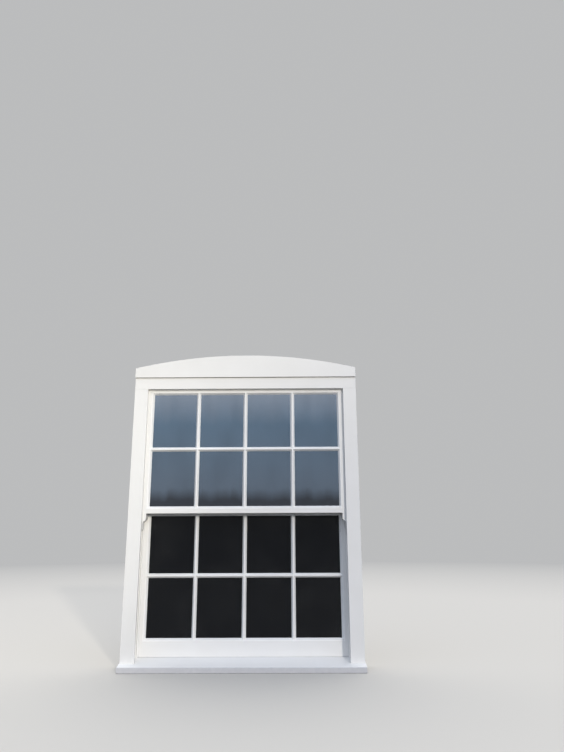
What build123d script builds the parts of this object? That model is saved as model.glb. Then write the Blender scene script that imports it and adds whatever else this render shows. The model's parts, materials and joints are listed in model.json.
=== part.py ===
from build123d import *
import math
import os

# A vertical sliding sash window, eight panes over eight, under a segmental brick arch.
# Millimetres. X runs to the right seen from outside, Y into the building, Z up.
# The origin is the middle of the sill's underside, in the plane of the outer linings' face.

# Outer frame
frame_width = 1187.0
springing_height = 1513.0
arch_rise = 69.0
arch_board_end = 52.4
arch_board_thickness = 28.0
head_lining_height = 61.6
lining_width = 69.5
lining_thickness = 20.0
lining_cover = 12.0
head_depth = 75.0
arris_radius = 2.0
joint_chamfer = 0.6

# Sill
sill_overhang = 4.0
sill_nose = 40.0
sill_nose_height = 26.7
sill_slope = 11.45
sill_arris = 3.0
throat_inset = 14.0
throat_radius = 4.0

# Tracks, from the outer linings to the room
track_gap = 2.0
bead_gap = 1.5
parting_thickness = 9.0
parting_proud = 12.0
parting_housed = 10.0
staff_thickness = 18.0
staff_proud = 14.0
staff_ovolo = 8.0

# Frame fixings through the jambs
fixing_radius = 4.0
fixing_low = 300.0
fixing_spacing = 900.0
fixing_inset = 27.5
fixing_head_radius = 7.0
fixing_head_depth = 8.0

# Sash timbers
sash_thickness = 45.0
sash_side_gap = 2.0
sash_head_gap = 2.0
sash_sill_gap = 1.2
stile_width = 42.0
top_rail_height = 36.6
bottom_rail_height = 85.6
meeting_top = 781.3
upper_meeting_height = 35.9
lower_meeting_height = 47.5
meeting_gap = 1.0
meeting_lean = 4.0
meeting_end_gap = 3.0
rebate_width = 14.0
ovolo_radius = 8.0
ovolo_quirk = 1.0
sash_travel = 550.0

# Horns of the upper sash
horn_length = 80.0
horn_neck = 24.0
horn_bulge_radius = 15.0
horn_hollow_radius = 17.0
horn_turn = 60.0
horn_tip_radius = 3.5

# Glazing
pane_columns = 4
pane_rows = 2
bar_width = 22.0
bar_nose = 6.0
bead_depth = 13.0
pane_thickness = 4.0
cavity = 12.0
unit_edge_gap = 1.0
spacer_inset = 3.0

# Seals
seal_width = 5.0
seal_depth = 3.0
seal_clearance = 0.3

# Spiral balances
tube_radius = 6.0
tube_wall = 0.8
tube_cap = 10.0
tube_drop = 26.0
tube_stand_off = 0.3
tube_foot_gap = 10.0
rod_width = 6.0
rod_thickness = 1.2
rod_pitch = 150.0
rod_engagement = 40.0
rod_top_gap = 10.0
lower_tube_margin = 100.0
balance_groove_width = 14.0
balance_groove_depth = 13.0
foot_height = 14.0
foot_slot_depth = 10.0
foot_lift = 2.0
slot_clearance = 0.15
bush_height = 8.0
bush_flange = 3.0
bush_clearance = 0.05
spring_radius = 4.9
spring_wall = 1.1

# Fasteners on the meeting rails
fastener_length = 56.0
fastener_width = 20.0
fastener_plate = 2.5
fastener_setback = 26.0
boss_radius = 7.0
boss_height = 5.0
pin_radius = 3.0
pin_clearance = 0.05
rivet_radius = 4.5
rivet_height = 1.2
lever_lift = 0.3
lever_thickness = 4.7
lever_reach = 40.0
lever_hub_radius = 8.0
lever_tip_radius = 4.5
lip_thickness = 3.5
lip_drop = 2.6
thumb_reach = 24.0
thumb_radius = 5.0
thumb_height = 12.0
thumb_chamfer = 1.5
keep_thickness = 2.0
keep_width = 32.0
keep_depth = 13.5
rib_gap = 2.0
rib_thickness = 2.5
rib_height = 4.2
rib_turn = 32.0

# Lifts on the bottom rail
lift_offset = 270.0
lift_span = 90.0
lift_projection = 26.0
lift_bar_thickness = 6.0
lift_bar_depth = 10.0
lift_bar_chamfer = 1.2
lift_bend = 16.0
lift_rose_radius = 9.5
lift_rose_thickness = 3.0
lift_height = 34.0

# Heights and half widths that follow
frame_half = frame_width / 2
opening_half = frame_half - lining_width
jamb_face = opening_half + lining_cover
head_lining_top = springing_height - arch_board_end
opening_top = head_lining_top - head_lining_height
soffit = opening_top + lining_cover
stile_edge = jamb_face - sash_side_gap
daylight_half = stile_edge - stile_width
rebate_half = daylight_half + rebate_width
meeting_half = jamb_face - parting_proud - meeting_end_gap

# Depths that follow, from the outer linings' face
upper_face = lining_thickness + track_gap
upper_back = upper_face + sash_thickness
parting_front = upper_back + bead_gap
parting_back = parting_front + parting_thickness
lower_face = parting_back + bead_gap
lower_back = lower_face + sash_thickness
staff_front = lower_back + bead_gap
frame_back = staff_front + staff_thickness
glass_depth = bead_depth + 2 * pane_thickness + cavity
parting_middle = (parting_front + parting_back) / 2


def sill_top(depth):
    """Height of the weathered top of the sill at a depth."""
    return sill_nose_height + (depth + sill_nose) * math.tan(math.radians(sill_slope))


sill_seat = sill_top(staff_front)

# Sash heights that follow
upper_top = soffit - sash_head_gap
upper_daylight = (meeting_top, upper_top - top_rail_height)
upper_bottom = meeting_top - upper_meeting_height
lower_bottom = sill_top(lower_face) + sash_sill_gap
lower_daylight = (lower_bottom + bottom_rail_height, meeting_top - lower_meeting_height)

os.makedirs("parts", exist_ok=True)


def keep_part(builder, name):
    """Name a finished piece and write it."""
    builder.part.label = name
    export_step(builder.part, f"parts/{name}.step")


def mirrored(builder):
    """The left-hand twin of a right-hand piece."""
    with BuildPart() as twin:
        mirror(builder.part, about=Plane.YZ)
    return twin


def rectangle(x0, x1, y0, y1, mode=Mode.ADD):
    """A rectangle between two corners of the sketch plane."""
    with Locations(((x0 + x1) / 2, (y0 + y1) / 2)):
        Rectangle(x1 - x0, y1 - y0, mode=mode)


def upright(depth):
    """A plane parallel to the wall, seen from outside: x to the right, y up."""
    return Plane(origin=(0, depth, 0), x_dir=(1, 0, 0), z_dir=(0, -1, 0))


def slope_plane(height, depth):
    """A plane parallel to the sill's weathering, through a point, facing up."""
    tilt = math.radians(sill_slope)
    return Plane(origin=(0, depth, height), x_dir=(1, 0, 0), z_dir=(0, -math.sin(tilt), math.cos(tilt)))


# Sill: weathered from the nose to the lower sash, level under the staff bead
with BuildPart() as sill:
    with BuildSketch(Plane.YZ):
        with BuildLine():
            Polyline(
                (-sill_nose, 0),
                (-sill_nose, sill_nose_height),
                (staff_front, sill_seat),
                (frame_back, sill_seat),
                (frame_back, 0),
                close=True,
            )
        make_face()
        with Locations((throat_inset - sill_nose, 0)):
            Circle(throat_radius, mode=Mode.SUBTRACT)
    extrude(amount=frame_half + sill_overhang, both=True)
    fillet(sill.edges().filter_by(Axis.X).group_by(Axis.Y)[0], sill_arris)
keep_part(sill, "sill")

# Head: grooved for the parting bead and for the seal above the upper sash
head_seal_middle = (upper_face + upper_back) / 2
with BuildPart() as head:
    with BuildSketch(Plane.YZ):
        rectangle(lining_thickness, frame_back, soffit, soffit + head_depth)
    extrude(amount=frame_half, both=True)
    with BuildSketch(Plane.YZ):
        rectangle(parting_front, parting_back, soffit, soffit + parting_housed)
        rectangle(
            head_seal_middle - seal_width / 2,
            head_seal_middle + seal_width / 2,
            soffit,
            soffit + seal_depth,
        )
    extrude(amount=jamb_face - parting_proud, both=True, mode=Mode.SUBTRACT)
keep_part(head, "head")

# Balance centres: one tube stands in each track, against each jamb
tube_x = jamb_face - tube_stand_off - tube_radius
upper_track = upper_face + sash_thickness / 2
lower_track = lower_face + sash_thickness / 2
tube_top = soffit - tube_drop

# Jambs: solid, grooved for the parting bead, footed on the sill, bored for fixings
with BuildPart() as jamb_right:
    with BuildSketch(Plane.XY.offset(sill_nose_height)):
        rectangle(jamb_face, frame_half, lining_thickness, frame_back)
        rectangle(jamb_face, jamb_face + parting_housed, parting_front, parting_back, Mode.SUBTRACT)
    extrude(amount=soffit - sill_nose_height)
    add(sill.part, mode=Mode.SUBTRACT)
    with BuildSketch(Plane.YZ.offset(jamb_face)):
        with Locations(*[(frame_back - fixing_inset, fixing_low + i * fixing_spacing) for i in range(2)]):
            Circle(fixing_radius)
    extrude(amount=frame_half - jamb_face, mode=Mode.SUBTRACT)
    with BuildSketch(Plane.YZ.offset(jamb_face)):
        with Locations(*[(frame_back - fixing_inset, fixing_low + i * fixing_spacing) for i in range(2)]):
            Circle(fixing_head_radius)
    extrude(amount=fixing_head_depth, mode=Mode.SUBTRACT)
keep_part(jamb_right, "jamb_right")
keep_part(mirrored(jamb_right), "jamb_left")

# Linings: flat face boards, footed on the sill's slope, with a fine V where they butt at the head
with BuildPart() as outer_lining_right:
    with BuildSketch(Plane.XY.offset(sill_nose_height)):
        rectangle(opening_half, frame_half, 0, lining_thickness)
    extrude(amount=opening_top - sill_nose_height)
    add(sill.part, mode=Mode.SUBTRACT)
    chamfer(outer_lining_right.edges().group_by(Axis.Z)[-1].sort_by(Axis.Y)[0], joint_chamfer)
    fillet(outer_lining_right.edges().filter_by(Axis.Z).group_by(Axis.Y)[0].sort_by(Axis.X)[0], arris_radius)
keep_part(outer_lining_right, "outer_lining_right")
keep_part(mirrored(outer_lining_right), "outer_lining_left")

with BuildPart() as head_lining:
    with BuildSketch(Plane.XY.offset(opening_top)):
        rectangle(-frame_half, frame_half, 0, lining_thickness)
    extrude(amount=head_lining_height)
    chamfer(head_lining.edges().group_by(Axis.Z)[0].sort_by(Axis.Y)[0], joint_chamfer)
keep_part(head_lining, "head_lining")

# Arch board: thicker than the lining below it, cut to the segment of the brick arch
with BuildPart() as arch_board:
    with BuildSketch(upright(lining_thickness)):
        with BuildLine():
            ThreePointArc(
                (-frame_half, springing_height),
                (0, springing_height + arch_rise),
                (frame_half, springing_height),
            )
            Polyline(
                (frame_half, springing_height),
                (frame_half, head_lining_top),
                (-frame_half, head_lining_top),
                (-frame_half, springing_height),
            )
        make_face()
    extrude(amount=arch_board_thickness)
    fillet(arch_board.edges().group_by(Axis.Y)[0].filter_by(Axis.X).sort_by(Axis.Z)[0], arris_radius)
keep_part(arch_board, "arch_board")

# Parting beads: they part the two tracks, and hold a pile seal against the upper sash
seal_offset = (parting_proud - seal_width) / 2
with BuildPart() as parting_bead_right:
    with BuildSketch(Plane.XY.offset(sill_nose_height)) as parting_section:
        rectangle(jamb_face - parting_proud, jamb_face + parting_housed, parting_front, parting_back)
        fillet(parting_section.vertices().group_by(Axis.X)[0], arris_radius)
        rectangle(
            jamb_face - parting_proud + seal_offset,
            jamb_face - seal_offset,
            parting_front,
            parting_front + seal_depth,
            Mode.SUBTRACT,
        )
    extrude(amount=soffit - sill_nose_height)
    add(sill.part, mode=Mode.SUBTRACT)
keep_part(parting_bead_right, "parting_bead_right")
keep_part(mirrored(parting_bead_right), "parting_bead_left")

with BuildPart() as parting_bead_head:
    with BuildSketch(Plane.YZ) as parting_head_section:
        rectangle(parting_front, parting_back, soffit - parting_proud, soffit + parting_housed)
        fillet(parting_head_section.vertices().group_by(Axis.Y)[0], arris_radius)
    extrude(amount=jamb_face - parting_proud, both=True)
keep_part(parting_bead_head, "parting_bead_head")

# Staff beads: mitred round the room side, each with an ovolo towards the room
mitre_low = Plane(origin=(jamb_face, 0, sill_seat), z_dir=(1, 0, 1))
mitre_high = Plane(origin=(jamb_face, 0, soffit), z_dir=(1, 0, -1))
mitre_low_left = Plane(origin=(-jamb_face, 0, sill_seat), z_dir=(-1, 0, 1))
mitre_high_left = Plane(origin=(-jamb_face, 0, soffit), z_dir=(-1, 0, -1))


def staff_section(sealed):
    """Section of a staff bead: x out of the timber that carries it, y towards the room."""
    with BuildSketch() as section:
        rectangle(0, staff_proud, 0, staff_thickness)
        fillet(section.vertices().group_by(Axis.X)[-1].sort_by(Axis.Y)[-1], staff_ovolo)
        if sealed:
            middle = staff_proud - lining_cover / 2
            rectangle(middle - seal_width / 2, middle + seal_width / 2, 0, seal_depth, Mode.SUBTRACT)
    return section.sketch


with BuildPart() as staff_bead_right:
    with BuildSketch(Plane(origin=(jamb_face, staff_front, soffit), x_dir=(-1, 0, 0), z_dir=(0, 0, -1))):
        add(staff_section(sealed=True))
    extrude(amount=soffit - sill_seat)
    split(bisect_by=mitre_low, keep=Keep.TOP)
    split(bisect_by=mitre_high, keep=Keep.TOP)
keep_part(staff_bead_right, "staff_bead_right")
keep_part(mirrored(staff_bead_right), "staff_bead_left")

with BuildPart() as staff_bead_sill:
    with BuildSketch(Plane(origin=(0, staff_front, sill_seat), x_dir=(0, 0, 1), z_dir=(-1, 0, 0))):
        add(staff_section(sealed=False))
    extrude(amount=jamb_face, both=True)
    split(bisect_by=mitre_low, keep=Keep.BOTTOM)
    split(bisect_by=mitre_low_left, keep=Keep.BOTTOM)
keep_part(staff_bead_sill, "staff_bead_sill")

with BuildPart() as staff_bead_head:
    with BuildSketch(Plane(origin=(0, staff_front, soffit), x_dir=(0, 0, -1), z_dir=(1, 0, 0))):
        add(staff_section(sealed=False))
    extrude(amount=jamb_face, both=True)
    split(bisect_by=mitre_high, keep=Keep.BOTTOM)
    split(bisect_by=mitre_high_left, keep=Keep.BOTTOM)
keep_part(staff_bead_head, "staff_bead_head")

# Pile seals in the frame: they stop just short of the sashes
with BuildPart() as parting_seal_right:
    with BuildSketch(Plane.XY.offset(sill_nose_height)):
        rectangle(
            jamb_face - parting_proud + seal_offset,
            jamb_face - seal_offset,
            upper_back + seal_clearance,
            parting_front + seal_depth,
        )
    extrude(amount=soffit - sill_nose_height)
    add(sill.part, mode=Mode.SUBTRACT)
with BuildPart() as parting_bead_seals:
    add(parting_seal_right.part)
    mirror(about=Plane.YZ)
keep_part(parting_bead_seals, "parting_bead_seals")

staff_seal_x = jamb_face - staff_proud + lining_cover / 2
with BuildPart() as staff_seal_right:
    with BuildSketch(Plane.XY.offset(sill_seat + staff_proud)):
        rectangle(
            staff_seal_x - seal_width / 2,
            staff_seal_x + seal_width / 2,
            lower_back + seal_clearance,
            staff_front + seal_depth,
        )
    extrude(amount=soffit - sill_seat - 2 * staff_proud)
with BuildPart() as staff_bead_seals:
    add(staff_seal_right.part)
    mirror(about=Plane.YZ)
keep_part(staff_bead_seals, "staff_bead_seals")

with BuildPart() as head_seal:
    with BuildSketch(Plane.YZ):
        rectangle(
            head_seal_middle - seal_width / 2,
            head_seal_middle + seal_width / 2,
            upper_top + seal_clearance,
            soffit + seal_depth,
        )
    extrude(amount=jamb_face - parting_proud, both=True)
keep_part(head_seal, "head_seal")


def moulding(glass_side, face_side):
    """The room-side moulding between two corners: a quirk, an ovolo and a quirk."""
    (x0, y0), (x1, y1) = glass_side, face_side
    step = math.copysign(ovolo_quirk, x1 - x0)
    start = (x0 + step, y1 - ovolo_quirk - ovolo_radius)
    end = (x0 + step + math.copysign(ovolo_radius, step), y1 - ovolo_quirk)
    middle = (
        end[0] - math.copysign(ovolo_radius, step) * math.sin(math.radians(45)),
        start[1] + ovolo_radius * math.sin(math.radians(45)),
    )
    Polyline((x0, y0), (x0, start[1]), start)
    ThreePointArc(start, middle, end)
    Polyline(end, (end[0], y1), (x1, y1))


def member_section(width):
    """Section of a sash timber: x outward from the daylight edge, y from the outer face inward."""
    with BuildSketch() as section:
        with BuildLine():
            moulding((0, glass_depth), (width, sash_thickness))
            Polyline(
                (width, sash_thickness),
                (width, 0),
                (rebate_width, 0),
                (rebate_width, glass_depth),
                (0, glass_depth),
            )
        make_face()
    return section.sketch


def rail_plane(face, height, outward):
    """The plane of a rail's section at mid length, its x pointing up or down from the daylight."""
    return Plane(origin=(0, face, height), x_dir=(0, 0, outward), z_dir=(-outward, 0, 0))


def balance_groove(track, bottom, top):
    """The groove in a stile's edge that the balance tube stands in."""
    half = balance_groove_width / 2
    with BuildSketch(Plane.XY.offset(bottom)) as groove:
        rectangle(stile_edge - balance_groove_depth, stile_edge, track - half, track + half)
    extrude(groove.sketch, amount=top - bottom, mode=Mode.SUBTRACT)


# Upper sash stiles, with a curved horn below the meeting rail
with BuildPart() as upper_stile_right:
    with BuildSketch(Plane(origin=(daylight_half, upper_face, upper_bottom), z_dir=(0, 0, 1))):
        add(member_section(stile_width))
    extrude(amount=upper_top - upper_bottom)
    balance_groove(upper_track, upper_bottom, upper_top)
    with BuildSketch(upright(upper_face)) as horn_outline:
        with BuildLine():
            neck = Line((rebate_half, upper_bottom), (rebate_half, upper_bottom - horn_neck))
            bulge = JernArc(neck @ 1, neck % 1, horn_bulge_radius, horn_turn)
            hollow = JernArc(bulge @ 1, bulge % 1, horn_hollow_radius, -horn_turn)
            Polyline(
                hollow @ 1,
                ((hollow @ 1).X, upper_bottom - horn_length),
                (stile_edge, upper_bottom - horn_length),
                (stile_edge, upper_bottom),
                (rebate_half, upper_bottom),
            )
        make_face()
        fillet(horn_outline.vertices().group_by(Axis.Y)[0].sort_by(Axis.X)[0], horn_tip_radius)
    extrude(amount=-sash_thickness)
keep_part(upper_stile_right, "upper_stile_right")
upper_stile_left = mirrored(upper_stile_right)
keep_part(upper_stile_left, "upper_stile_left")

with BuildPart() as upper_top_rail:
    with BuildSketch(rail_plane(upper_face, upper_daylight[1], 1)):
        add(member_section(top_rail_height))
    extrude(amount=rebate_half, both=True)
    add(upper_stile_right.part, mode=Mode.SUBTRACT)
    add(upper_stile_left.part, mode=Mode.SUBTRACT)
keep_part(upper_top_rail, "upper_top_rail")

# Meeting rails: widened into the gap between the sashes, and splayed so that they part freely
meeting_high_y = parting_middle - meeting_lean / 2
meeting_low_y = parting_middle + meeting_lean / 2
with BuildPart() as upper_meeting_rail:
    with BuildSketch(Plane.YZ):
        with BuildLine():
            Polyline(
                (upper_face, meeting_top - rebate_width),
                (upper_face + glass_depth, meeting_top - rebate_width),
                (upper_face + glass_depth, meeting_top),
                (upper_back, meeting_top),
                (upper_back, upper_bottom),
                (upper_face, upper_bottom),
                close=True,
            )
        make_face()
    extrude(amount=rebate_half, both=True)
    add(upper_stile_right.part, mode=Mode.SUBTRACT)
    add(upper_stile_left.part, mode=Mode.SUBTRACT)
    with BuildSketch(Plane.YZ):
        with BuildLine():
            Polyline(
                (upper_back, upper_bottom),
                (upper_back, meeting_top),
                (meeting_high_y - meeting_gap / 2, meeting_top),
                (meeting_low_y - meeting_gap / 2, upper_bottom),
                close=True,
            )
        make_face()
    extrude(amount=meeting_half, both=True)
keep_part(upper_meeting_rail, "upper_meeting_rail")

# Lower sash stiles, cut to the sill's slope at the foot
lower_foot = slope_plane(lower_bottom, lower_face)
with BuildPart() as lower_stile_right:
    with BuildSketch(Plane(origin=(daylight_half, lower_face, lower_bottom), z_dir=(0, 0, 1))):
        add(member_section(stile_width))
    extrude(amount=meeting_top - lower_bottom)
    balance_groove(lower_track, lower_bottom, meeting_top)
    split(bisect_by=lower_foot, keep=Keep.TOP)
keep_part(lower_stile_right, "lower_stile_right")
lower_stile_left = mirrored(lower_stile_right)
keep_part(lower_stile_left, "lower_stile_left")

# The seal groove in the bottom rail's underside follows the sill's slope
groove_plane = slope_plane(lower_bottom, lower_face) * Plane.YZ
bottom_seal_start = sash_thickness / 3
with BuildPart() as lower_bottom_rail:
    with BuildSketch(rail_plane(lower_face, lower_daylight[0], -1)):
        add(member_section(bottom_rail_height))
    extrude(amount=rebate_half, both=True)
    split(bisect_by=lower_foot, keep=Keep.TOP)
    add(lower_stile_right.part, mode=Mode.SUBTRACT)
    add(lower_stile_left.part, mode=Mode.SUBTRACT)
    with BuildSketch(groove_plane):
        rectangle(bottom_seal_start, bottom_seal_start + seal_width, 0, seal_depth)
    extrude(amount=rebate_half, both=True, mode=Mode.SUBTRACT)
keep_part(lower_bottom_rail, "lower_bottom_rail")

with BuildPart() as bottom_rail_seal:
    with BuildSketch(groove_plane):
        rectangle(
            bottom_seal_start,
            bottom_seal_start + seal_width,
            seal_clearance - sash_sill_gap,
            seal_depth,
        )
    extrude(amount=daylight_half, both=True)
keep_part(bottom_rail_seal, "bottom_rail_seal")

# The lower meeting rail carries a seal in its splayed face
splay = math.degrees(math.atan2(meeting_lean, upper_meeting_height))
splay_plane = Plane(
    origin=(0, meeting_low_y + meeting_gap / 2, upper_bottom),
    x_dir=(0, -math.sin(math.radians(splay)), math.cos(math.radians(splay))),
    z_dir=(-1, 0, 0),
)
meeting_seal_start = (upper_meeting_height - seal_width) / 2
with BuildPart() as lower_meeting_rail:
    with BuildSketch(rail_plane(lower_face, lower_daylight[1], 1)):
        add(member_section(lower_meeting_height))
    extrude(amount=rebate_half, both=True)
    add(lower_stile_right.part, mode=Mode.SUBTRACT)
    add(lower_stile_left.part, mode=Mode.SUBTRACT)
    with BuildSketch(Plane.YZ):
        with BuildLine():
            Polyline(
                (lower_face, meeting_top),
                (lower_face, upper_bottom),
                (meeting_low_y + meeting_gap / 2, upper_bottom),
                (meeting_high_y + meeting_gap / 2, meeting_top),
                close=True,
            )
        make_face()
    extrude(amount=meeting_half, both=True)
    with BuildSketch(splay_plane):
        rectangle(meeting_seal_start, meeting_seal_start + seal_width, 0, seal_depth)
    extrude(amount=meeting_half, both=True, mode=Mode.SUBTRACT)
keep_part(lower_meeting_rail, "lower_meeting_rail")

with BuildPart() as meeting_rail_seal:
    with BuildSketch(splay_plane):
        rectangle(
            meeting_seal_start,
            meeting_seal_start + seal_width,
            seal_clearance - meeting_gap,
            seal_depth,
        )
    extrude(amount=meeting_half, both=True)
keep_part(meeting_rail_seal, "meeting_rail_seal")


def pane_size(daylight):
    """Width and height of one pane between the bars."""
    bottom, top = daylight
    width = (2 * daylight_half - (pane_columns - 1) * bar_width) / pane_columns
    height = (top - bottom - (pane_rows - 1) * bar_width) / pane_rows
    return width, height


def pane_grid(daylight, grow=0.0):
    """Every pane as a rectangle, grown by an amount on each side."""
    width, height = pane_size(daylight)
    with Locations((0, sum(daylight) / 2)):
        with GridLocations(width + bar_width, height + bar_width, pane_columns, pane_rows):
            Rectangle(width + 2 * grow, height + 2 * grow)


def unit_outline(daylight, margin):
    """The daylight rectangle, grown by a margin."""
    bottom, top = daylight
    rectangle(-daylight_half - margin, daylight_half + margin, bottom - margin, top + margin)


def bar_section():
    """Section of a glazing bar on the room side of the glass: y towards the room."""
    depth = sash_thickness - glass_depth
    with BuildSketch() as section:
        with BuildLine():
            moulding((-bar_width / 2, 0), (0, depth))
            moulding((bar_width / 2, 0), (0, depth))
            Line((-bar_width / 2, 0), (bar_width / 2, 0))
        make_face()
    return section.sketch


def glaze(prefix, face, daylight, timbers):
    """The sealed unit of one sash, with its bars and beads outside and its bars inside."""
    glass_front = face + bead_depth
    unit_margin = rebate_width - unit_edge_gap
    bevel = math.degrees(math.atan2((bar_width - bar_nose) / 2, bead_depth))

    with BuildPart() as outer_bars:
        with BuildSketch(upright(glass_front)):
            unit_outline(daylight, rebate_width)
        extrude(amount=bead_depth)
        with BuildSketch(upright(glass_front)):
            pane_grid(daylight)
        extrude(amount=bead_depth, taper=-bevel, mode=Mode.SUBTRACT)
    keep_part(outer_bars, f"{prefix}_outer_bars")

    with BuildPart() as outer_pane:
        with BuildSketch(upright(glass_front)):
            unit_outline(daylight, unit_margin)
        extrude(amount=-pane_thickness)
    keep_part(outer_pane, f"{prefix}_outer_pane")

    with BuildPart() as spacer_grid:
        with BuildSketch(upright(glass_front + pane_thickness)):
            unit_outline(daylight, unit_margin)
        extrude(amount=-cavity)
        with BuildSketch(upright(glass_front + pane_thickness)):
            pane_grid(daylight, spacer_inset)
        extrude(amount=-cavity, mode=Mode.SUBTRACT)
    keep_part(spacer_grid, f"{prefix}_spacer_grid")

    with BuildPart() as inner_pane:
        with BuildSketch(upright(glass_front + pane_thickness + cavity)):
            unit_outline(daylight, unit_margin)
        extrude(amount=-pane_thickness)
    keep_part(inner_pane, f"{prefix}_inner_pane")

    bottom, top = daylight
    width, height = pane_size(daylight)
    glass_back = face + glass_depth
    with BuildPart() as inner_bars:
        for i in range(1, pane_columns):
            x = i * (width + bar_width) - daylight_half - bar_width / 2
            with BuildSketch(Plane(origin=(x, glass_back, bottom), z_dir=(0, 0, 1))):
                add(bar_section())
            extrude(amount=top - bottom)
        for i in range(1, pane_rows):
            z = bottom + i * (height + bar_width) - bar_width / 2
            with BuildSketch(rail_plane(glass_back, z, 1)):
                add(bar_section())
            extrude(amount=daylight_half, both=True)
    with BuildPart() as coped_bars:
        add(inner_bars.part)
        for timber in timbers:
            add(timber.part, mode=Mode.SUBTRACT)
    keep_part(coped_bars, f"{prefix}_inner_bars")


glaze(
    "upper",
    upper_face,
    upper_daylight,
    (upper_stile_left, upper_stile_right, upper_top_rail, upper_meeting_rail),
)
glaze(
    "lower",
    lower_face,
    lower_daylight,
    (lower_stile_left, lower_stile_right, lower_meeting_rail, lower_bottom_rail),
)


def twisted_bar(width, thickness, centre, bottom, top):
    """A flat bar twisted about its length, turned at each height as the balance rods are."""
    with BuildSketch(Plane.XY.offset(bottom)) as section:
        with Locations(Location(centre, (0, 0, 360 * bottom / rod_pitch))):
            Rectangle(width, thickness)
    return Solid.extrude_linear_with_rotation(
        section.sketch.faces()[0],
        center=(centre[0], centre[1], bottom),
        normal=(0, 0, top - bottom),
        angle=360 * (top - bottom) / rod_pitch,
    )


def cylinder(centre, radius, bottom, top, mode=Mode.ADD):
    """An upright cylinder between two heights."""
    with BuildSketch(Plane.XY.offset(bottom)) as disc:
        with Locations(centre):
            Circle(radius)
    extrude(disc.sketch, amount=top - bottom, mode=mode)


# Balance heights: each rod stands in a foot at the bottom of its sash and runs up its tube
tube_bore = tube_radius - tube_wall
groove_back = lower_track + balance_groove_width / 2
lower_foot_bottom = sill_top(groove_back) + sash_sill_gap + foot_lift
upper_foot_bottom = upper_bottom + foot_lift
upper_tube_bottom = upper_foot_bottom + foot_height + bush_flange + tube_foot_gap
lower_tube_bottom = lower_foot_bottom + foot_height + sash_travel + lower_tube_margin
upper_rod_top = tube_top - tube_cap - rod_top_gap
lower_rod_top = lower_tube_bottom + bush_height + rod_engagement
slot_width = rod_width + 2 * slot_clearance
slot_thickness = rod_thickness + 2 * slot_clearance

balances = (
    ("upper", upper_track, upper_foot_bottom, upper_tube_bottom, upper_rod_top),
    ("lower", lower_track, lower_foot_bottom, lower_tube_bottom, lower_rod_top),
)

for track_name, track, foot_bottom, tube_bottom, rod_top in balances:
    foot_top = foot_bottom + foot_height
    rod_bottom = foot_top - foot_slot_depth
    for side_name, side in (("left", -1), ("right", 1)):
        centre = (side * tube_x, track)

        with BuildPart() as balance_tube:
            cylinder(centre, tube_radius, tube_bottom, tube_top)
            cylinder(centre, tube_bore, tube_bottom, tube_top - tube_cap, Mode.SUBTRACT)
        keep_part(balance_tube, f"{track_name}_balance_tube_{side_name}")

        slot = twisted_bar(
            slot_width,
            slot_thickness,
            centre,
            tube_bottom - 2 * bush_flange,
            tube_bottom + bush_height + bush_flange,
        )
        with BuildPart() as balance_bush:
            cylinder(
                centre,
                tube_bore - bush_clearance,
                tube_bottom - bush_flange,
                tube_bottom + bush_height,
            )
            cylinder(
                centre,
                tube_radius - bush_clearance,
                tube_bottom - bush_flange,
                tube_bottom - bush_clearance,
            )
            add(slot, mode=Mode.SUBTRACT)
        keep_part(balance_bush, f"{track_name}_balance_bush_{side_name}")

        rod = twisted_bar(rod_width, rod_thickness, centre, rod_bottom, rod_top)
        with BuildPart() as balance_rod:
            add(rod)
        keep_part(balance_rod, f"{track_name}_balance_rod_{side_name}")

    foot_slots = [
        twisted_bar(slot_width, slot_thickness, (side * tube_x, track), rod_bottom, foot_top + foot_lift)
        for side in (-1, 1)
    ]
    with BuildPart() as balance_feet:
        with BuildSketch(Plane.XY.offset(foot_bottom)):
            half = balance_groove_width / 2
            rectangle(stile_edge - balance_groove_depth, stile_edge, track - half, track + half)
        extrude(amount=foot_height)
        mirror(about=Plane.YZ)
        for slot in foot_slots:
            add(slot, mode=Mode.SUBTRACT)
    keep_part(balance_feet, f"{track_name}_balance_feet")

# Close-wound torsion springs, one inside each tube, hung from its cap
with BuildPart() as balance_springs:
    for _, track, _, tube_bottom, _ in balances:
        for side in (-1, 1):
            centre = (side * tube_x, track)
            spring_foot = tube_bottom + bush_height + spring_wall
            cylinder(centre, spring_radius, spring_foot, tube_top - tube_cap)
            cylinder(centre, spring_radius - spring_wall, spring_foot, tube_top - tube_cap, Mode.SUBTRACT)
keep_part(balance_springs, "balance_springs")

# Fasteners: a lever on the lower meeting rail swings its lip behind a rib on the upper one
pane_width = pane_size(upper_daylight)[0]
fastener_x = (pane_width + bar_width) / 2
fastener_y = meeting_high_y + meeting_gap / 2 + fastener_setback
pivots = ((-fastener_x, fastener_y), (fastener_x, fastener_y))
lever_bottom = meeting_top + boss_height + lever_lift
lever_top = lever_bottom + lever_thickness
lip_radius = lever_reach - lip_thickness

with BuildPart() as fastener_bases:
    with BuildSketch(Plane.XY.offset(meeting_top)):
        with Locations(*pivots):
            SlotOverall(fastener_length, fastener_width)
    extrude(amount=fastener_plate)
    for pivot in pivots:
        cylinder(pivot, boss_radius, meeting_top, meeting_top + boss_height)
        cylinder(pivot, pin_radius, meeting_top, lever_top + lever_lift)
        cylinder(pivot, rivet_radius, lever_top + lever_lift, lever_top + lever_lift + rivet_height)
keep_part(fastener_bases, "fastener_bases")

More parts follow.
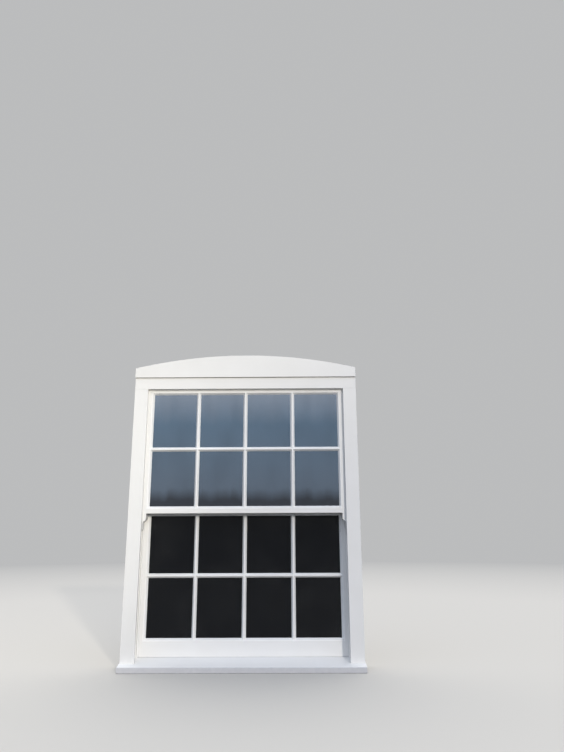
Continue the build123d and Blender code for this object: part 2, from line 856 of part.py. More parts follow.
for side_name, pivot in zip(("left", "right"), pivots):
    with BuildPart() as fastener_lever:
        with BuildSketch(Plane.XY.offset(lever_bottom)):
            with Locations(pivot):
                Circle(lever_hub_radius)
            with Locations((pivot[0] + lever_reach - lever_tip_radius, pivot[1])):
                Circle(lever_tip_radius)
            make_hull()
        extrude(amount=lever_thickness)
        with BuildSketch(Plane.XY.offset(lever_bottom)):
            with Locations(pivot):
                Circle(lever_hub_radius)
            with Locations((pivot[0] - thumb_reach, pivot[1])):
                Circle(thumb_radius)
            make_hull()
        extrude(amount=lever_thickness)
        cylinder((pivot[0] - thumb_reach, pivot[1]), thumb_radius, lever_bottom, lever_bottom + thumb_height)
        chamfer(fastener_lever.edges().group_by(Axis.Z)[-1], thumb_chamfer)
        with BuildSketch(Plane.XY.offset(lever_bottom)):
            with Locations(pivot):
                Circle(lever_reach)
                Circle(lip_radius, mode=Mode.SUBTRACT)
            rectangle(
                pivot[0] + lip_radius - lip_thickness,
                pivot[0] + lever_reach + lip_thickness,
                pivot[1] - lever_tip_radius,
                pivot[1] + lever_tip_radius,
                Mode.INTERSECT,
            )
        extrude(amount=-lip_drop)
        cylinder(pivot, pin_radius + pin_clearance, lever_bottom, lever_top, Mode.SUBTRACT)
    keep_part(fastener_lever, f"fastener_lever_{side_name}")

with BuildPart() as fastener_keeps:
    for pivot in pivots:
        keep_back = meeting_high_y - meeting_gap / 2
        with BuildSketch(Plane.XY.offset(meeting_top)):
            rectangle(
                pivot[0] - keep_width / 2,
                pivot[0] + keep_width / 2,
                keep_back - keep_depth,
                keep_back,
            )
        extrude(amount=keep_thickness)
        with BuildSketch(Plane.XY.offset(meeting_top)):
            with BuildLine():
                rib_radius = lip_radius - rib_gap
                outer = CenterArc(pivot, rib_radius, 270 - rib_turn / 2, rib_turn)
                inner = CenterArc(pivot, rib_radius - rib_thickness, 270 - rib_turn / 2, rib_turn)
                Line(outer @ 0, inner @ 0)
                Line(outer @ 1, inner @ 1)
            make_face()
        extrude(amount=rib_height)
keep_part(fastener_keeps, "fastener_keeps")

# Sash lifts: a flat bar bowed between two roses, on the room face of the bottom rail
lift_z = lower_bottom + lift_height + lift_rose_radius
lift_feet = (lift_offset - lift_span / 2, lift_offset + lift_span / 2)
half_bar = lift_bar_thickness / 2
with BuildPart() as sash_lift_right:
    with BuildSketch(Plane.XY.offset(lift_z - lift_bar_depth / 2)):
        with BuildLine():
            for inset in (-half_bar, half_bar):
                FilletPolyline(
                    (lift_feet[0] + inset, lower_back),
                    (lift_feet[0] + inset, lower_back + lift_projection - inset),
                    (lift_feet[1] - inset, lower_back + lift_projection - inset),
                    (lift_feet[1] - inset, lower_back),
                    radius=lift_bend - inset,
                )
            for foot in lift_feet:
                Line((foot - half_bar, lower_back), (foot + half_bar, lower_back))
        make_face()
    extrude(amount=lift_bar_depth)
    bar_edges = sash_lift_right.faces().filter_by(Axis.Z).edges()
    chamfer(bar_edges - bar_edges.group_by(Axis.Y)[0], lift_bar_chamfer)
    with BuildSketch(upright(lower_back)):
        with Locations(*[(foot, lift_z) for foot in lift_feet]):
            Circle(lift_rose_radius)
    extrude(amount=-lift_rose_thickness)
keep_part(sash_lift_right, "sash_lift_right")
keep_part(mirrored(sash_lift_right), "sash_lift_left")
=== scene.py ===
import json
import math

import bmesh
import bpy
from mathutils import Matrix, Vector


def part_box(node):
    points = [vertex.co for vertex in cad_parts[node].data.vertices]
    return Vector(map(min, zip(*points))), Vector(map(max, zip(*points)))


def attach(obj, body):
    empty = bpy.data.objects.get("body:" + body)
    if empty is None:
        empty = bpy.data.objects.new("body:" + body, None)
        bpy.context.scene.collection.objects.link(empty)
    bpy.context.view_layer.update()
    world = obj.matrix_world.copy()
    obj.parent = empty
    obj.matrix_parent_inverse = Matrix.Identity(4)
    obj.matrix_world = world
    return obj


# A sash window: materials, screws, light and camera round its modelled pieces.
# Metres; X to the right seen from outside, Y into the building, Z up.
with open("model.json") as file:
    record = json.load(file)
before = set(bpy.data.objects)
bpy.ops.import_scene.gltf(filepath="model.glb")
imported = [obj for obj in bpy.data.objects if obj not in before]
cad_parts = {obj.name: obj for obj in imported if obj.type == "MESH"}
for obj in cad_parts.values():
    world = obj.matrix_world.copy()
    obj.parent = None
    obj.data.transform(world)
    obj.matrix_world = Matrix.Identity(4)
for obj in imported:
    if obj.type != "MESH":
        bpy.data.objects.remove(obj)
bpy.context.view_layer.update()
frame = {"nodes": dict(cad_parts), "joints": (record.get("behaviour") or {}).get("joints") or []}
nodes = frame["nodes"]
scene = bpy.context.scene
scene.view_settings.view_transform = "Standard"

SIDES = ("left", "right")
TRACKS = ("upper", "lower")

# Camera, as in the photograph: low, close in front and a little to the right
CAMERA_PLACE = Vector((0.2189, -3.1888, 0.6431))
CAMERA_YAW = math.radians(-0.382)
CAMERA_PITCH = math.radians(14.50)
CAMERA_ROLL = math.radians(-0.224)
CAMERA_LENS_MM = 29.156
CAMERA_SENSOR_MM = 36.0

# Light: a low sun from the right, a sky brighter overhead, and soft beams on the left side and the head
SUN_FROM = Vector((0.43, -1.0, 0.31))
SUN_STRENGTH = 1.27
SUN_SPREAD = math.radians(3)
SUN_COLOUR = (1.0, 0.93, 0.85)
HORIZON_STRENGTH = 0.48
OVERHEAD_STRENGTH = 1.15
STREET_SKY = (0.86, 0.97, 1.18, 1)
ROOM_SKY = (1.6, 1.58, 1.54, 1)
SKY_TURN = (-0.2, 0.4)
BEAM_PLACE = Vector((0.9, -4.2, 1.6))
BEAMS = {
    "left_beam": (Vector((-1.15, 0.0, 0.75)), 340.0),
    "head_beam": (Vector((-0.2, 0.0, 1.9)), 200.0),
}
BEAM_CONE = math.radians(30)
BEAM_SIZE = 0.4
BEAM_COLOUR = (1.0, 0.94, 0.76)

# Floor and backdrop: pale to the camera, and a floor that throws little light back up
BACKDROP = (0.50, 0.505, 0.51, 1)
FLOOR_SEEN = (0.60, 0.575, 0.53, 1)
FLOOR_BOUNCE = (0.09, 0.09, 0.09, 1)
FLOOR_HALF = 40.0
FLOOR_FADE = (4.0, 12.0)

# Colours of the materials; the sky reflection painted into the upper glass has stops from its foot to
# its head
PAINT = (0.84, 0.835, 0.82, 1)
# A lighter copy of the paint: painted light on the bars, the jambs and the beads
PAINT_LIT = (0.93, 0.925, 0.915, 1)
PAINT_AGED = (0.78, 0.77, 0.745, 1)
# Dark paint for the dirty joint line, and for painted shade in corners and under edges
PAINT_DIRT_AND_SHADE = (0.30, 0.29, 0.27, 1)
# The sill nose's front face, painted a darker blue-grey
PAINT_NOSE_FACE = (0.58, 0.58, 0.60, 1)
PAINTED_SKY_REFLECTION = (
    (0.0, (0.08, 0.09, 0.11, 1)),
    (0.10, (0.20, 0.255, 0.33, 1)),
    (0.65, (0.20, 0.295, 0.41, 1)),
    (1.0, (0.48, 0.55, 0.67, 1)),
)
# Painted darkness: an unlit room behind the lower and inner panes, and darker patches in the painted sky
PAINTED_DARKNESS = (0.008, 0.009, 0.011, 1)
SPACER = (0.80, 0.80, 0.79, 1)
PILE = (0.74, 0.74, 0.71, 1)
TUBE = (0.82, 0.82, 0.80, 1)
NYLON = (0.78, 0.78, 0.74, 1)
STEEL = (0.58, 0.59, 0.60, 1)
CHROME = (0.74, 0.74, 0.745, 1)


class Graph:
    """The nodes of a material or of the world, with short calls that add and join them."""

    def __init__(self, owner):
        owner.use_nodes = True
        self.owner = owner
        self.tree = owner.node_tree

    def add(self, kind, inputs=None, **settings):
        """A new node; inputs are values or the outputs of other nodes."""
        node = self.tree.nodes.new("ShaderNode" + kind)
        for name, value in settings.items():
            setattr(node, name, value)
        for name, value in (inputs or {}).items():
            self.feed(node.inputs[name], value)
        return node

    def feed(self, socket, value):
        """Joins an output to a socket, or sets the socket's own value."""
        if isinstance(value, bpy.types.NodeSocket):
            self.tree.links.new(value, socket)
        else:
            socket.default_value = value

    def remap(self, value, low, high, to_low, to_high):
        """A value's range from low to high, stretched to another range and kept inside it."""
        ends = {"From Min": low, "From Max": high, "To Min": to_low, "To Max": to_high}
        return self.add("MapRange", {"Value": value, **ends}).outputs[0]

    def combine(self, operation, a, b):
        """Two values multiplied, subtracted or compared."""
        return self.add("Math", {0: a, 1: b}, operation=operation).outputs[0]

    def mix(self, factor, a, b):
        """A colour between two others."""
        node = self.add("Mix", data_type="RGBA")
        for index, value in ((0, factor), (6, a), (7, b)):
            self.feed(node.inputs[index], value)
        return node.outputs[2]

    def seen(self):
        """1 where the camera sees the surface, itself or in metal or glass."""
        path = self.add("LightPath").outputs
        mirrored = self.combine("MAXIMUM", path["Is Glossy Ray"], path["Is Transmission Ray"])
        return self.combine("MAXIMUM", path["Is Camera Ray"], mirrored)


class Finish(Graph):
    """A material in the making: noises in the object's frame, colours and bumps for its main shader."""

    def __init__(self, name):
        super().__init__(bpy.data.materials.new(name))
        self.shader = self.tree.nodes["Principled BSDF"]
        self.place = self.add("TexCoord").outputs["Object"]

    def surface(self, **inputs):
        """Feeds the main shader: base_color stands for its Base Color socket, and so on."""
        for name, value in inputs.items():
            self.feed(self.shader.inputs[name.replace("_", " ").title()], value)

    def along(self, axis):
        """A coordinate of the object's frame, in metres."""
        return self.add("SeparateXYZ", {0: self.place}).outputs[axis]

    def noise(self, per_metre, detail=3.0, stretch=(1, 1, 1), offset=0.0):
        """Noise from 0 to 1, so many cells a metre, stretched along an axis."""
        scale = tuple(per_metre * s for s in stretch)
        place = self.add("Mapping", {"Vector": self.place, "Scale": scale, "Location": (offset,) * 3})
        cells = {"Vector": place.outputs[0], "Scale": 1.0, "Detail": detail}
        return self.add("TexNoise", cells).outputs[0]

    def ramp(self, value, stops):
        """A colour picked from a row of stops by a value from 0 to 1."""
        node = self.add("ValToRGB", {0: value})
        elements = node.color_ramp.elements
        while len(elements) < len(stops):
            elements.new(0.5)
        for element, (position, colour) in zip(elements, stops):
            element.position = position
            element.color = colour
        return node.outputs[0]

    def bump(self, height, depth, normal=None):
        """A normal raised by a height from 0 to 1, depth metres deep."""
        inputs = {"Height": height, "Distance": depth, "Strength": 1.0}
        if normal is not None:
            inputs["Normal"] = normal
        return self.add("Bump", inputs).outputs[0]


def dress(material, *names):
    """Gives CAD nodes a material."""
    for name in names:
        for slot in nodes[name].material_slots:
            slot.material = material


def both(*stems):
    """The left and right twins of some node names."""
    return [f"{stem}_{side}" for stem in stems for side in SIDES]


# Painted timber: two coats over primer, brushed along the grain, eased at the arrises, with painted
# shade in
# its corners: less of it on the bars, the linings and the jambs
ARRIS = 0.0007
GRAIN = {"x": (0.03, 1, 1), "z": (1, 1, 0.03), "none": (1, 1, 1)}
# How far painted shade reaches into corners, and how dark it is on each kind of piece
CORNER_REACH = 0.014
CORNER_SHADE = 0.5
BAR_CORNER_SHADE = 0.4
REVEAL_CORNER_SHADE = 0.25
JAMB_CORNER_SHADE = 0.2
PLANING_DEPTH = 0.00025
FIGURE_DEPTH = 0.00012
BRUSH_DEPTH = 0.00005
PAINT_ROUGHNESS = (0.32, 0.46)


def painted_timber(name, grain, offset, paint=PAINT, corner_shade=CORNER_SHADE, stains_and_shades=()):
    """White satin paint on planed timber whose grain runs along an axis, with painted shade in its
    corners.

    A stain or painted shade is an axis, where it is full, where it ends, how much it covers, and its
    colour.
    """
    g = Finish(name)
    cloud = g.noise(5, detail=4, offset=offset)
    tone = g.mix(g.remap(cloud, 0.35, 0.75, 0, 0.5), paint, PAINT_AGED)
    blotches = g.noise(45, detail=5, offset=offset + 3)
    patchy = g.remap(blotches, 0.2, 0.8, 0.7, 1)
    # Stains, and painted shade along edges, laid over the paint's tone
    for axis, full, end, cover, colour in stains_and_shades:
        depth = g.remap(g.along(axis), full, end, cover, 0)
        tone = g.mix(g.combine("MULTIPLY", depth, patchy), tone, colour)
    # Painted shade: ambient occlusion darkens the paint in corners and recesses where shade falls, in
    # blotches
    corner = g.add("AmbientOcclusion", {"Distance": CORNER_REACH}, samples=6).outputs["AO"]
    cornered = g.remap(corner, 0.05, 0.6, corner_shade, 0)
    painted_corner_shade = g.combine("MULTIPLY", cornered, g.remap(blotches, 0.3, 0.7, 0.45, 1))
    brush = g.noise(900, detail=2, stretch=GRAIN[grain], offset=offset)
    figure = g.noise(120, detail=3, stretch=GRAIN[grain], offset=offset + 7)
    rounded = g.add("Bevel", {"Radius": ARRIS}, samples=4).outputs[0]
    normal = g.bump(g.noise(14, detail=1, offset=offset), PLANING_DEPTH, rounded)
    normal = g.bump(figure, FIGURE_DEPTH, normal)
    normal = g.bump(brush, BRUSH_DEPTH, normal)
    gloss = g.noise(30, detail=3, offset=offset + 1)
    g.surface(
        base_color=g.mix(painted_corner_shade, tone, PAINT_DIRT_AND_SHADE),
        roughness=g.remap(gloss, 0.3, 0.7, *PAINT_ROUGHNESS),
        normal=normal,
    )
    return g.owner


# Stains and painted shade: a dark line at the linings' joint; painted shade under the arch board, under
# the upper meeting rail and on the bead that rail shades; and a sill nose's front face painted a darker
# blue-grey
SEAM = 0.0014
SHADE_LINE = (0.001, 0.003)
UNDERSIDE = (0.0004, 0.0016)
SHADED_BEAD = 0.016
NOSE_FACE_BAND = (0.001, 0.004)
SEAM_COVER = 0.4
SHADE_COVER = 0.9
RAIL_SHADE_COVER = 0.8
BEAD_SHADOW_COVER = 0.65
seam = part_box("head_lining")[0].z
lining_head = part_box("head_lining")[1].z
board_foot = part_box("arch_board")[0].z
rail_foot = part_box("upper_meeting_rail")[0].z
nose_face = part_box("sill")[0].y
seam_stain = ("Z", seam, seam - SEAM, SEAM_COVER, PAINT_DIRT_AND_SHADE)
# Painted shadow on the head lining just under the arch board, and painted shade on the board's underside
arch_shadow_line = ("Z", lining_head - SHADE_LINE[0], lining_head - SHADE_LINE[1], SHADE_COVER, PAINT_DIRT_AND_SHADE)
board_underside_shade = ("Z", board_foot + UNDERSIDE[0], board_foot + UNDERSIDE[1], SHADE_COVER, PAINT_DIRT_AND_SHADE)
# Painted shade along the underside of the upper meeting rail
rail_underside_shade = ("Z", rail_foot + UNDERSIDE[0], rail_foot + UNDERSIDE[1], RAIL_SHADE_COVER, PAINT_DIRT_AND_SHADE)
# Painted shadow of the upper meeting rail on the bead below it
bead_shadow = ("Z", rail_foot, rail_foot - SHADED_BEAD, BEAD_SHADOW_COVER, PAINT_DIRT_AND_SHADE)
# The front face of the sill nose is painted a darker blue-grey
nose_face_darkening = ("Y", nose_face + NOSE_FACE_BAND[0], nose_face + NOSE_FACE_BAND[1], 1.0, PAINT_NOSE_FACE)

lining_paint = painted_timber("paint_linings", "z", 0, PAINT, REVEAL_CORNER_SHADE, stains_and_shades=[seam_stain])
board_paint = painted_timber("paint_arch_board", "x", 11, stains_and_shades=[board_underside_shade])
head_paint = painted_timber("paint_head_lining", "x", 17, stains_and_shades=[arch_shadow_line])
sill_paint = painted_timber("paint_sill", "x", 23, stains_and_shades=[nose_face_darkening])
stile_paint = painted_timber("paint_stiles", "z", 31)
rail_paint = painted_timber("paint_rails", "x", 43)
meeting_paint = painted_timber("paint_meeting_rail", "x", 47, stains_and_shades=[rail_underside_shade])
# The bars take the lighter copy of the paint, which stands in for more light on them
bar_paint = painted_timber("paint_bars", "none", 57, PAINT_LIT, BAR_CORNER_SHADE)
lower_bar_paint = painted_timber(
    "paint_lower_outer_bars", "none", 53, PAINT_LIT, BAR_CORNER_SHADE, stains_and_shades=[bead_shadow]
)
# The jambs and beads take the lighter copy of the paint, which stands in for more light on them
upright_paint = painted_timber("paint_jambs_and_beads", "z", 61, PAINT_LIT, JAMB_CORNER_SHADE)
cross_paint = painted_timber("paint_head_and_cross_beads", "x", 71)

dress(lining_paint, *both("outer_lining"))
dress(board_paint, "arch_board")
dress(head_paint, "head_lining")
dress(sill_paint, "sill")
dress(stile_paint, *both("upper_stile", "lower_stile"))
dress(rail_paint, "upper_top_rail", "lower_meeting_rail", "lower_bottom_rail")
dress(meeting_paint, "upper_meeting_rail")
dress(bar_paint, "upper_outer_bars", "upper_inner_bars", "lower_inner_bars")
dress(lower_bar_paint, "lower_outer_bars")
dress(upright_paint, *both("jamb", "parting_bead", "staff_bead"))
dress(cross_paint, "head", "parting_bead_head", "staff_bead_sill", "staff_bead_head")


# Glass: drawn a little uneven; the upper outer pane carries a painted reflection of the sky, the others
# have the darkness of an unlit room painted in
GLASS_WAVE = 0.0004
RAGGED_FOOT = 0.08
SKY_MIRROR = 0.8
SKY_ALPHA = 0.9
OUTER_ALPHA = 0.8
INNER_ALPHA = 0.97
DARK_GLASS_SPECULAR = 0.15


def painted_sky_glass(name, bottom, top):
    """Glass with a painted reflection of a dull sky: dark and ragged at one height, slate, and paler up
    to another.
    """
    g = Finish(name)
    haze = g.noise(9, detail=4, stretch=(1, 1, 0.5))
    ripple = g.combine("MULTIPLY", g.noise(16, detail=4, stretch=(1, 1, 0)), RAGGED_FOOT)
    height = g.combine("SUBTRACT", g.along("Z"), ripple)
    # The sky's reflection is painted into the base colour, dark and ragged at its foot
    sky = g.ramp(g.remap(height, bottom, top, 0, 1), PAINTED_SKY_REFLECTION)
    g.surface(
        base_color=g.mix(g.remap(haze, 0.4, 0.8, 0, 0.16), sky, PAINTED_DARKNESS),
        metallic=SKY_MIRROR,
        roughness=g.remap(haze, 0.3, 0.8, 0.03, 0.09),
        alpha=SKY_ALPHA,
        normal=g.bump(g.noise(3, detail=0), GLASS_WAVE),
    )
    return g.owner


def glass_with_painted_darkness(name, alpha):
    """Glass with the darkness of an unlit room behind it painted in, and a faint film of dust."""
    g = Finish(name)
    film = g.noise(7, detail=5)
    g.shader.inputs["Specular IOR Level"].default_value = DARK_GLASS_SPECULAR
    g.surface(
        # The base colour is the painted darkness of the room behind, with a little dust
        base_color=g.mix(g.remap(film, 0.45, 0.8, 0, 0.012), PAINTED_DARKNESS, PILE),
        roughness=g.remap(film, 0.3, 0.8, 0.02, 0.07),
        alpha=alpha,
        normal=g.bump(g.noise(3, detail=0, offset=5), GLASS_WAVE),
    )
    return g.owner


pane_foot, pane_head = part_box("upper_outer_pane")
dress(painted_sky_glass("glass_upper_outer", pane_foot.z, pane_head.z), "upper_outer_pane")
dress(glass_with_painted_darkness("glass_lower_outer", OUTER_ALPHA), "lower_outer_pane")
dress(glass_with_painted_darkness("glass_inner", INNER_ALPHA), "upper_inner_pane", "lower_inner_pane")


# Metals, plastics and pile: each metal or plastic with its roughness, the cells of its grain a metre,
# and the grain's depth
EDGE_WEAR = 0.0003
WORN_TONE = 0.86
PILE_TONE = 0.6
PILE_SHEEN = 0.4
FIBRES_PER_METRE = 2600
FIBRE_DEPTH = 0.0003
WEAVE_SCALE = 320.0
ROW_DEPTH = 0.0002


def plain_finish(name, colour, roughness, grain_per_metre, depth, metallic=0.0, stretch=(1, 1, 1)):
    """A moulded or worked surface: small changes of tone and gloss over a fine grain."""
    g = Finish(name)
    grain = g.noise(grain_per_metre, detail=3, stretch=stretch)
    shade = tuple(WORN_TONE * c for c in colour[:3]) + (1,)
    rounded = g.add("Bevel", {"Radius": EDGE_WEAR}, samples=4).outputs[0]
    g.surface(
        base_color=g.mix(g.remap(g.noise(40, detail=2), 0.35, 0.7, 0, 0.6), colour, shade),
        roughness=g.remap(grain, 0.3, 0.7, 0.85 * roughness, 1.2 * roughness),
        metallic=metallic,
        normal=g.bump(grain, depth, rounded),
    )
    return g.owner


spacer_metal = plain_finish("spacer_aluminium", SPACER, 0.45, 700, 0.00003, metallic=0.4)
tube_plastic = plain_finish("balance_tube_plastic", TUBE, 0.3, 300, 0.00002, stretch=(1, 1, 0.02))
nylon = plain_finish("balance_nylon", NYLON, 0.55, 900, 0.00003)
steel = plain_finish("brushed_steel", STEEL, 0.36, 2500, 0.000005, metallic=1.0, stretch=(1, 1, 0.04))
satin_chrome = plain_finish(
    "satin_chrome", CHROME, 0.40, 1400, 0.000002, metallic=1.0, stretch=(0.04, 1, 1)
)


def pile_material():
    """Woven pile: short fibres that stand across the strip, in fine rows."""
    g = Finish("pile_fabric")
    fibre = g.noise(FIBRES_PER_METRE, detail=2)
    weave = {"Vector": g.place, "Scale": WEAVE_SCALE, "Distortion": 3.0, "Detail": 2.0}
    rows = g.add("TexWave", weave, wave_type="BANDS", bands_direction="DIAGONAL").outputs[0]
    shade = tuple(PILE_TONE * c for c in PILE[:3]) + (1,)
    g.surface(
        base_color=g.mix(g.remap(fibre, 0.3, 0.7, 0.7, 0), PILE, shade),
        roughness=0.95,
        normal=g.bump(rows, ROW_DEPTH, g.bump(fibre, FIBRE_DEPTH)),
    )
    g.shader.inputs["Sheen Weight"].default_value = PILE_SHEEN
    return g.owner


dress(spacer_metal, "upper_spacer_grid", "lower_spacer_grid")
dress(pile_material(), *[name for name in nodes if name.endswith(("seal", "seals"))])
dress(tube_plastic, *both("upper_balance_tube", "lower_balance_tube"))
dress(nylon, *both("upper_balance_bush", "lower_balance_bush"))
dress(nylon, "upper_balance_feet", "lower_balance_feet")
dress(steel, *both("upper_balance_rod", "lower_balance_rod"), "balance_springs")
dress(satin_chrome, *both("fastener_lever", "sash_lift"), "fastener_bases", "fastener_keeps")


# Screws in the fasteners, the lifts' roses and the balance tubes: radii of the heads and their places
BASE_SCREW_RADIUS = 0.003
BASE_SCREW_REACH = 0.020
BASE_PLATE = 0.0025
KEEP_SCREW_RADIUS = 0.0022
KEEP_SCREW_REACH = 0.013
KEEP_SCREW_INSET = 0.003
KEEP_PLATE = 0.002
ROSE_SCREW_RADIUS = 0.0018
ROSE_SCREW_RISE = 0.007
ROSE_RADIUS = 0.0095
ROSE_THICKNESS = 0.003
TUBE_SCREW_RADIUS = 0.0026
TUBE_SCREW_DROP = 0.006
TUBE_SCREW_SEAT = 0.0007

# A screw's head: its height and half its slot as shares of its radius, its rim and its slot's floor
# as shares of that height, and the turn from one screw's slot to the next
HEAD_HEIGHT = 0.3
HALF_SLOT = 0.16
HEAD_RIM = 0.3
SLOT_FLOOR = 0.15
SLOT_TURN = 2.4
HEAD_COLUMNS = 20
HEAD_ROWS = 6
HEAD_SHARP = math.radians(35)
MERGE = 1e-7


def screw_head(bm, place, facing, radius, turn, seat):
    """Adds a raised head with a slot: two half domes beside the slot's floor, down to its seat."""
    height = HEAD_HEIGHT * radius
    rim = HEAD_RIM * height
    half_slot = HALF_SLOT * radius
    steepest = math.acos(HALF_SLOT)
    cap = [radius * math.cos(steepest * i / HEAD_ROWS) for i in range(HEAD_ROWS + 1)]
    near_dome = [(v, True) for v in cap]
    slot_floor = [(half_slot, False), (-half_slot, False)]
    far_dome = [(-v, True) for v in reversed(cap)]
    stand = Matrix.Translation(place) @ facing.to_track_quat("Z", "Y").to_matrix().to_4x4()
    head = bmesh.new()
    grid = []
    for v, domed in near_dome + slot_floor + far_dome:
        reach = math.sqrt(max(radius**2 - v**2, 0))
        row = []
        for j in range(HEAD_COLUMNS + 1):
            u = reach * math.sin(math.pi * (j / HEAD_COLUMNS - 0.5))
            dome = rim + (height - rim) * (1 - (u**2 + v**2) / radius**2)
            row.append(head.verts.new((u, v, dome if domed else SLOT_FLOOR * height)))
        grid.append(row)
    for near, far in zip(grid, grid[1:]):
        for j in range(HEAD_COLUMNS):
            head.faces.new((near[j], near[j + 1], far[j + 1], far[j]))
    bmesh.ops.remove_doubles(head, verts=head.verts, dist=MERGE)
    border = [edge for edge in head.edges if edge.is_boundary]
    skirt = bmesh.ops.extrude_edge_only(head, edges=border)["geom"]
    for vert in skirt:
        if isinstance(vert, bmesh.types.BMVert):
            vert.co.z = -seat
    bmesh.ops.remove_doubles(head, verts=head.verts, dist=MERGE)
    bmesh.ops.dissolve_degenerate(head, dist=MERGE, edges=head.edges)
    bmesh.ops.holes_fill(head, edges=[edge for edge in head.edges if edge.is_boundary])
    bmesh.ops.recalc_face_normals(head, faces=head.faces)
    head.transform(stand @ Matrix.Rotation(turn, 4, "Z"))
    finished = bpy.data.meshes.new("screw")
    head.to_mesh(finished)
    bm.from_mesh(finished)
    bpy.data.meshes.remove(finished)
    head.free()


def screws(name, places, facing, radius, body, material, seat=0.0):
    """A group of like screws on one body, their slots turned every way."""
    bm = bmesh.new()
    for i, place in enumerate(places):
        screw_head(bm, place, facing, radius, SLOT_TURN * i, seat)
    mesh = bpy.data.meshes.new(name)
    bm.to_mesh(mesh)
    bm.free()
    mesh.shade_smooth()
    mesh.set_sharp_from_angle(angle=HEAD_SHARP)
    mesh.materials.append(material)
    piece = bpy.data.objects.new(name, mesh)
    scene.collection.objects.link(piece)
    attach(piece, body)


UP = Vector((0, 0, 1))
TO_ROOM = Vector((0, 1, 0))
RIGHTWARD = Vector((1, 0, 0))


def fastener_screws():
    """Two screws beside each lever's pin, and two at the ends of each keep."""
    base_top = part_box("fastener_bases")[0].z + BASE_PLATE
    keep_low, keep_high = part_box("fastener_keeps")
    keep_top = keep_low.z + KEEP_PLATE
    keep_middle = keep_high.y - KEEP_SCREW_INSET
    base_places = []
    keep_places = []
    for joint in frame["joints"]:
        if joint["name"].startswith("fastener"):
            x, y, _ = joint["pos_m"]
            for end in (-1, 1):
                base_places.append((x + end * BASE_SCREW_REACH, y, base_top))
                keep_places.append((x + end * KEEP_SCREW_REACH, keep_middle, keep_top))
    sets = (
        ("fastener_base_screws", base_places, BASE_SCREW_RADIUS, "lower_sash"),
        ("fastener_keep_screws", keep_places, KEEP_SCREW_RADIUS, "upper_sash"),
    )
    for name, places, radius, body in sets:
        screws(name, places, UP, radius, body, satin_chrome)


def lift_screws():
    """Two screws in each rose of the lifts, above and below the bar."""
    places = []
    for name in both("sash_lift"):
        low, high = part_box(name)
        for x in (low.x + ROSE_RADIUS, high.x - ROSE_RADIUS):
            for rise in (-ROSE_SCREW_RISE, ROSE_SCREW_RISE):
                places.append((x, low.y + ROSE_THICKNESS, (low.z + high.z) / 2 + rise))
    screws(
        "sash_lift_screws", places, TO_ROOM, ROSE_SCREW_RADIUS, "lower_sash", satin_chrome
    )


def tube_screws():
    """One screw through the head of each balance tube, from the middle of the window."""
    for side, sign in zip(SIDES, (-1, 1)):
        places = []
        for track in TRACKS:
            low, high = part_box(f"{track}_balance_tube_{side}")
            inner = low.x if side == "right" else high.x
            places.append((inner, (low.y + high.y) / 2, high.z - TUBE_SCREW_DROP))
        name = f"balance_tube_screws_{side}"
        facing = -sign * RIGHTWARD
        screws(name, places, facing, TUBE_SCREW_RADIUS, "frame", steel, seat=TUBE_SCREW_SEAT)


fastener_screws()
lift_screws()
tube_screws()


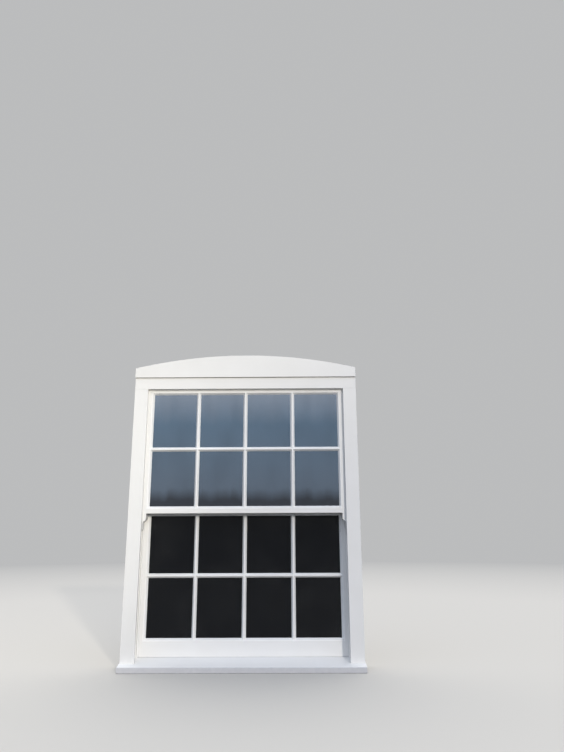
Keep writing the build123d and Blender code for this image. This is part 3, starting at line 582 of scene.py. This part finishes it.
def backdrop_and_floor():
    """A pale floor that fades into a plain pale backdrop, and the sky's light."""
    scene.world = bpy.data.worlds.new("studio")
    g = Graph(scene.world)
    direction = g.add("SeparateXYZ", {0: g.add("TexCoord").outputs["Generated"]}).outputs
    height = g.remap(direction["Z"], 0, 1, HORIZON_STRENGTH, OVERHEAD_STRENGTH)
    tint = g.mix(g.remap(direction["Y"], *SKY_TURN, 0, 1), STREET_SKY, ROOM_SKY)
    sky = g.add("Background", {"Color": tint, "Strength": height})
    card = g.add("Background", {"Color": BACKDROP})
    shown = g.add("MixShader", {0: g.seen(), 1: sky.outputs[0], 2: card.outputs[0]})
    g.feed(g.tree.nodes["World Output"].inputs[0], shown.outputs[0])

    bpy.ops.mesh.primitive_plane_add(size=2 * FLOOR_HALF, location=(0, 0, 0))
    floor = bpy.context.active_object
    floor.name = "floor"
    g = Finish("floor_card")
    g.surface(base_color=g.mix(g.seen(), FLOOR_BOUNCE, FLOOR_SEEN), roughness=0.9)
    distance = g.add("VectorMath", {0: g.place}, operation="LENGTH").outputs["Value"]
    far_card = g.add("Emission", {"Color": g.mix(g.seen(), FLOOR_BOUNCE, BACKDROP)})
    fade = g.remap(distance, *FLOOR_FADE, 0, 1)
    faded = g.add("MixShader", {0: fade, 1: g.shader.outputs[0], 2: far_card.outputs[0]})
    g.feed(g.tree.nodes["Material Output"].inputs[0], faded.outputs[0])
    floor.data.materials.append(g.owner)


def aim(thing, place, target):
    """Puts a lamp at a place, with its beam towards a target."""
    thing.location = place
    thing.rotation_euler = (target - place).to_track_quat("-Z", "Y").to_euler()


def lights():
    """The sun from the right, and the two soft beams."""
    sun = bpy.data.objects.new("sun", bpy.data.lights.new("sun", "SUN"))
    sun.data.energy = SUN_STRENGTH
    sun.data.angle = SUN_SPREAD
    sun.data.color = SUN_COLOUR
    aim(sun, SUN_FROM, Vector((0, 0, 0)))
    scene.collection.objects.link(sun)
    for name, (target, watts) in BEAMS.items():
        beam = bpy.data.objects.new(name, bpy.data.lights.new(name, "SPOT"))
        beam.data.energy = watts
        beam.data.spot_size = BEAM_CONE
        beam.data.spot_blend = 1.0
        beam.data.shadow_soft_size = BEAM_SIZE
        beam.data.color = BEAM_COLOUR
        beam.visible_glossy = False
        aim(beam, BEAM_PLACE, target)
        scene.collection.objects.link(beam)


def camera():
    """The camera at the photograph's viewpoint, turned and rolled as there."""
    eye = bpy.data.objects.new("camera", bpy.data.cameras.new("camera"))
    eye.data.sensor_width = CAMERA_SENSOR_MM
    eye.data.lens = CAMERA_LENS_MM
    forward = Vector((
        math.sin(CAMERA_YAW) * math.cos(CAMERA_PITCH),
        math.cos(CAMERA_YAW) * math.cos(CAMERA_PITCH),
        math.sin(CAMERA_PITCH),
    ))
    level = Vector((math.cos(CAMERA_YAW), -math.sin(CAMERA_YAW), 0))
    upright = level.cross(forward)
    right = level * math.cos(CAMERA_ROLL) + upright * math.sin(CAMERA_ROLL)
    up = upright * math.cos(CAMERA_ROLL) - level * math.sin(CAMERA_ROLL)
    turn = Matrix((right, up, -forward)).transposed()
    eye.matrix_world = Matrix.Translation(CAMERA_PLACE) @ turn.to_4x4()
    scene.collection.objects.link(eye)
    scene.camera = eye


backdrop_and_floor()
lights()
camera()
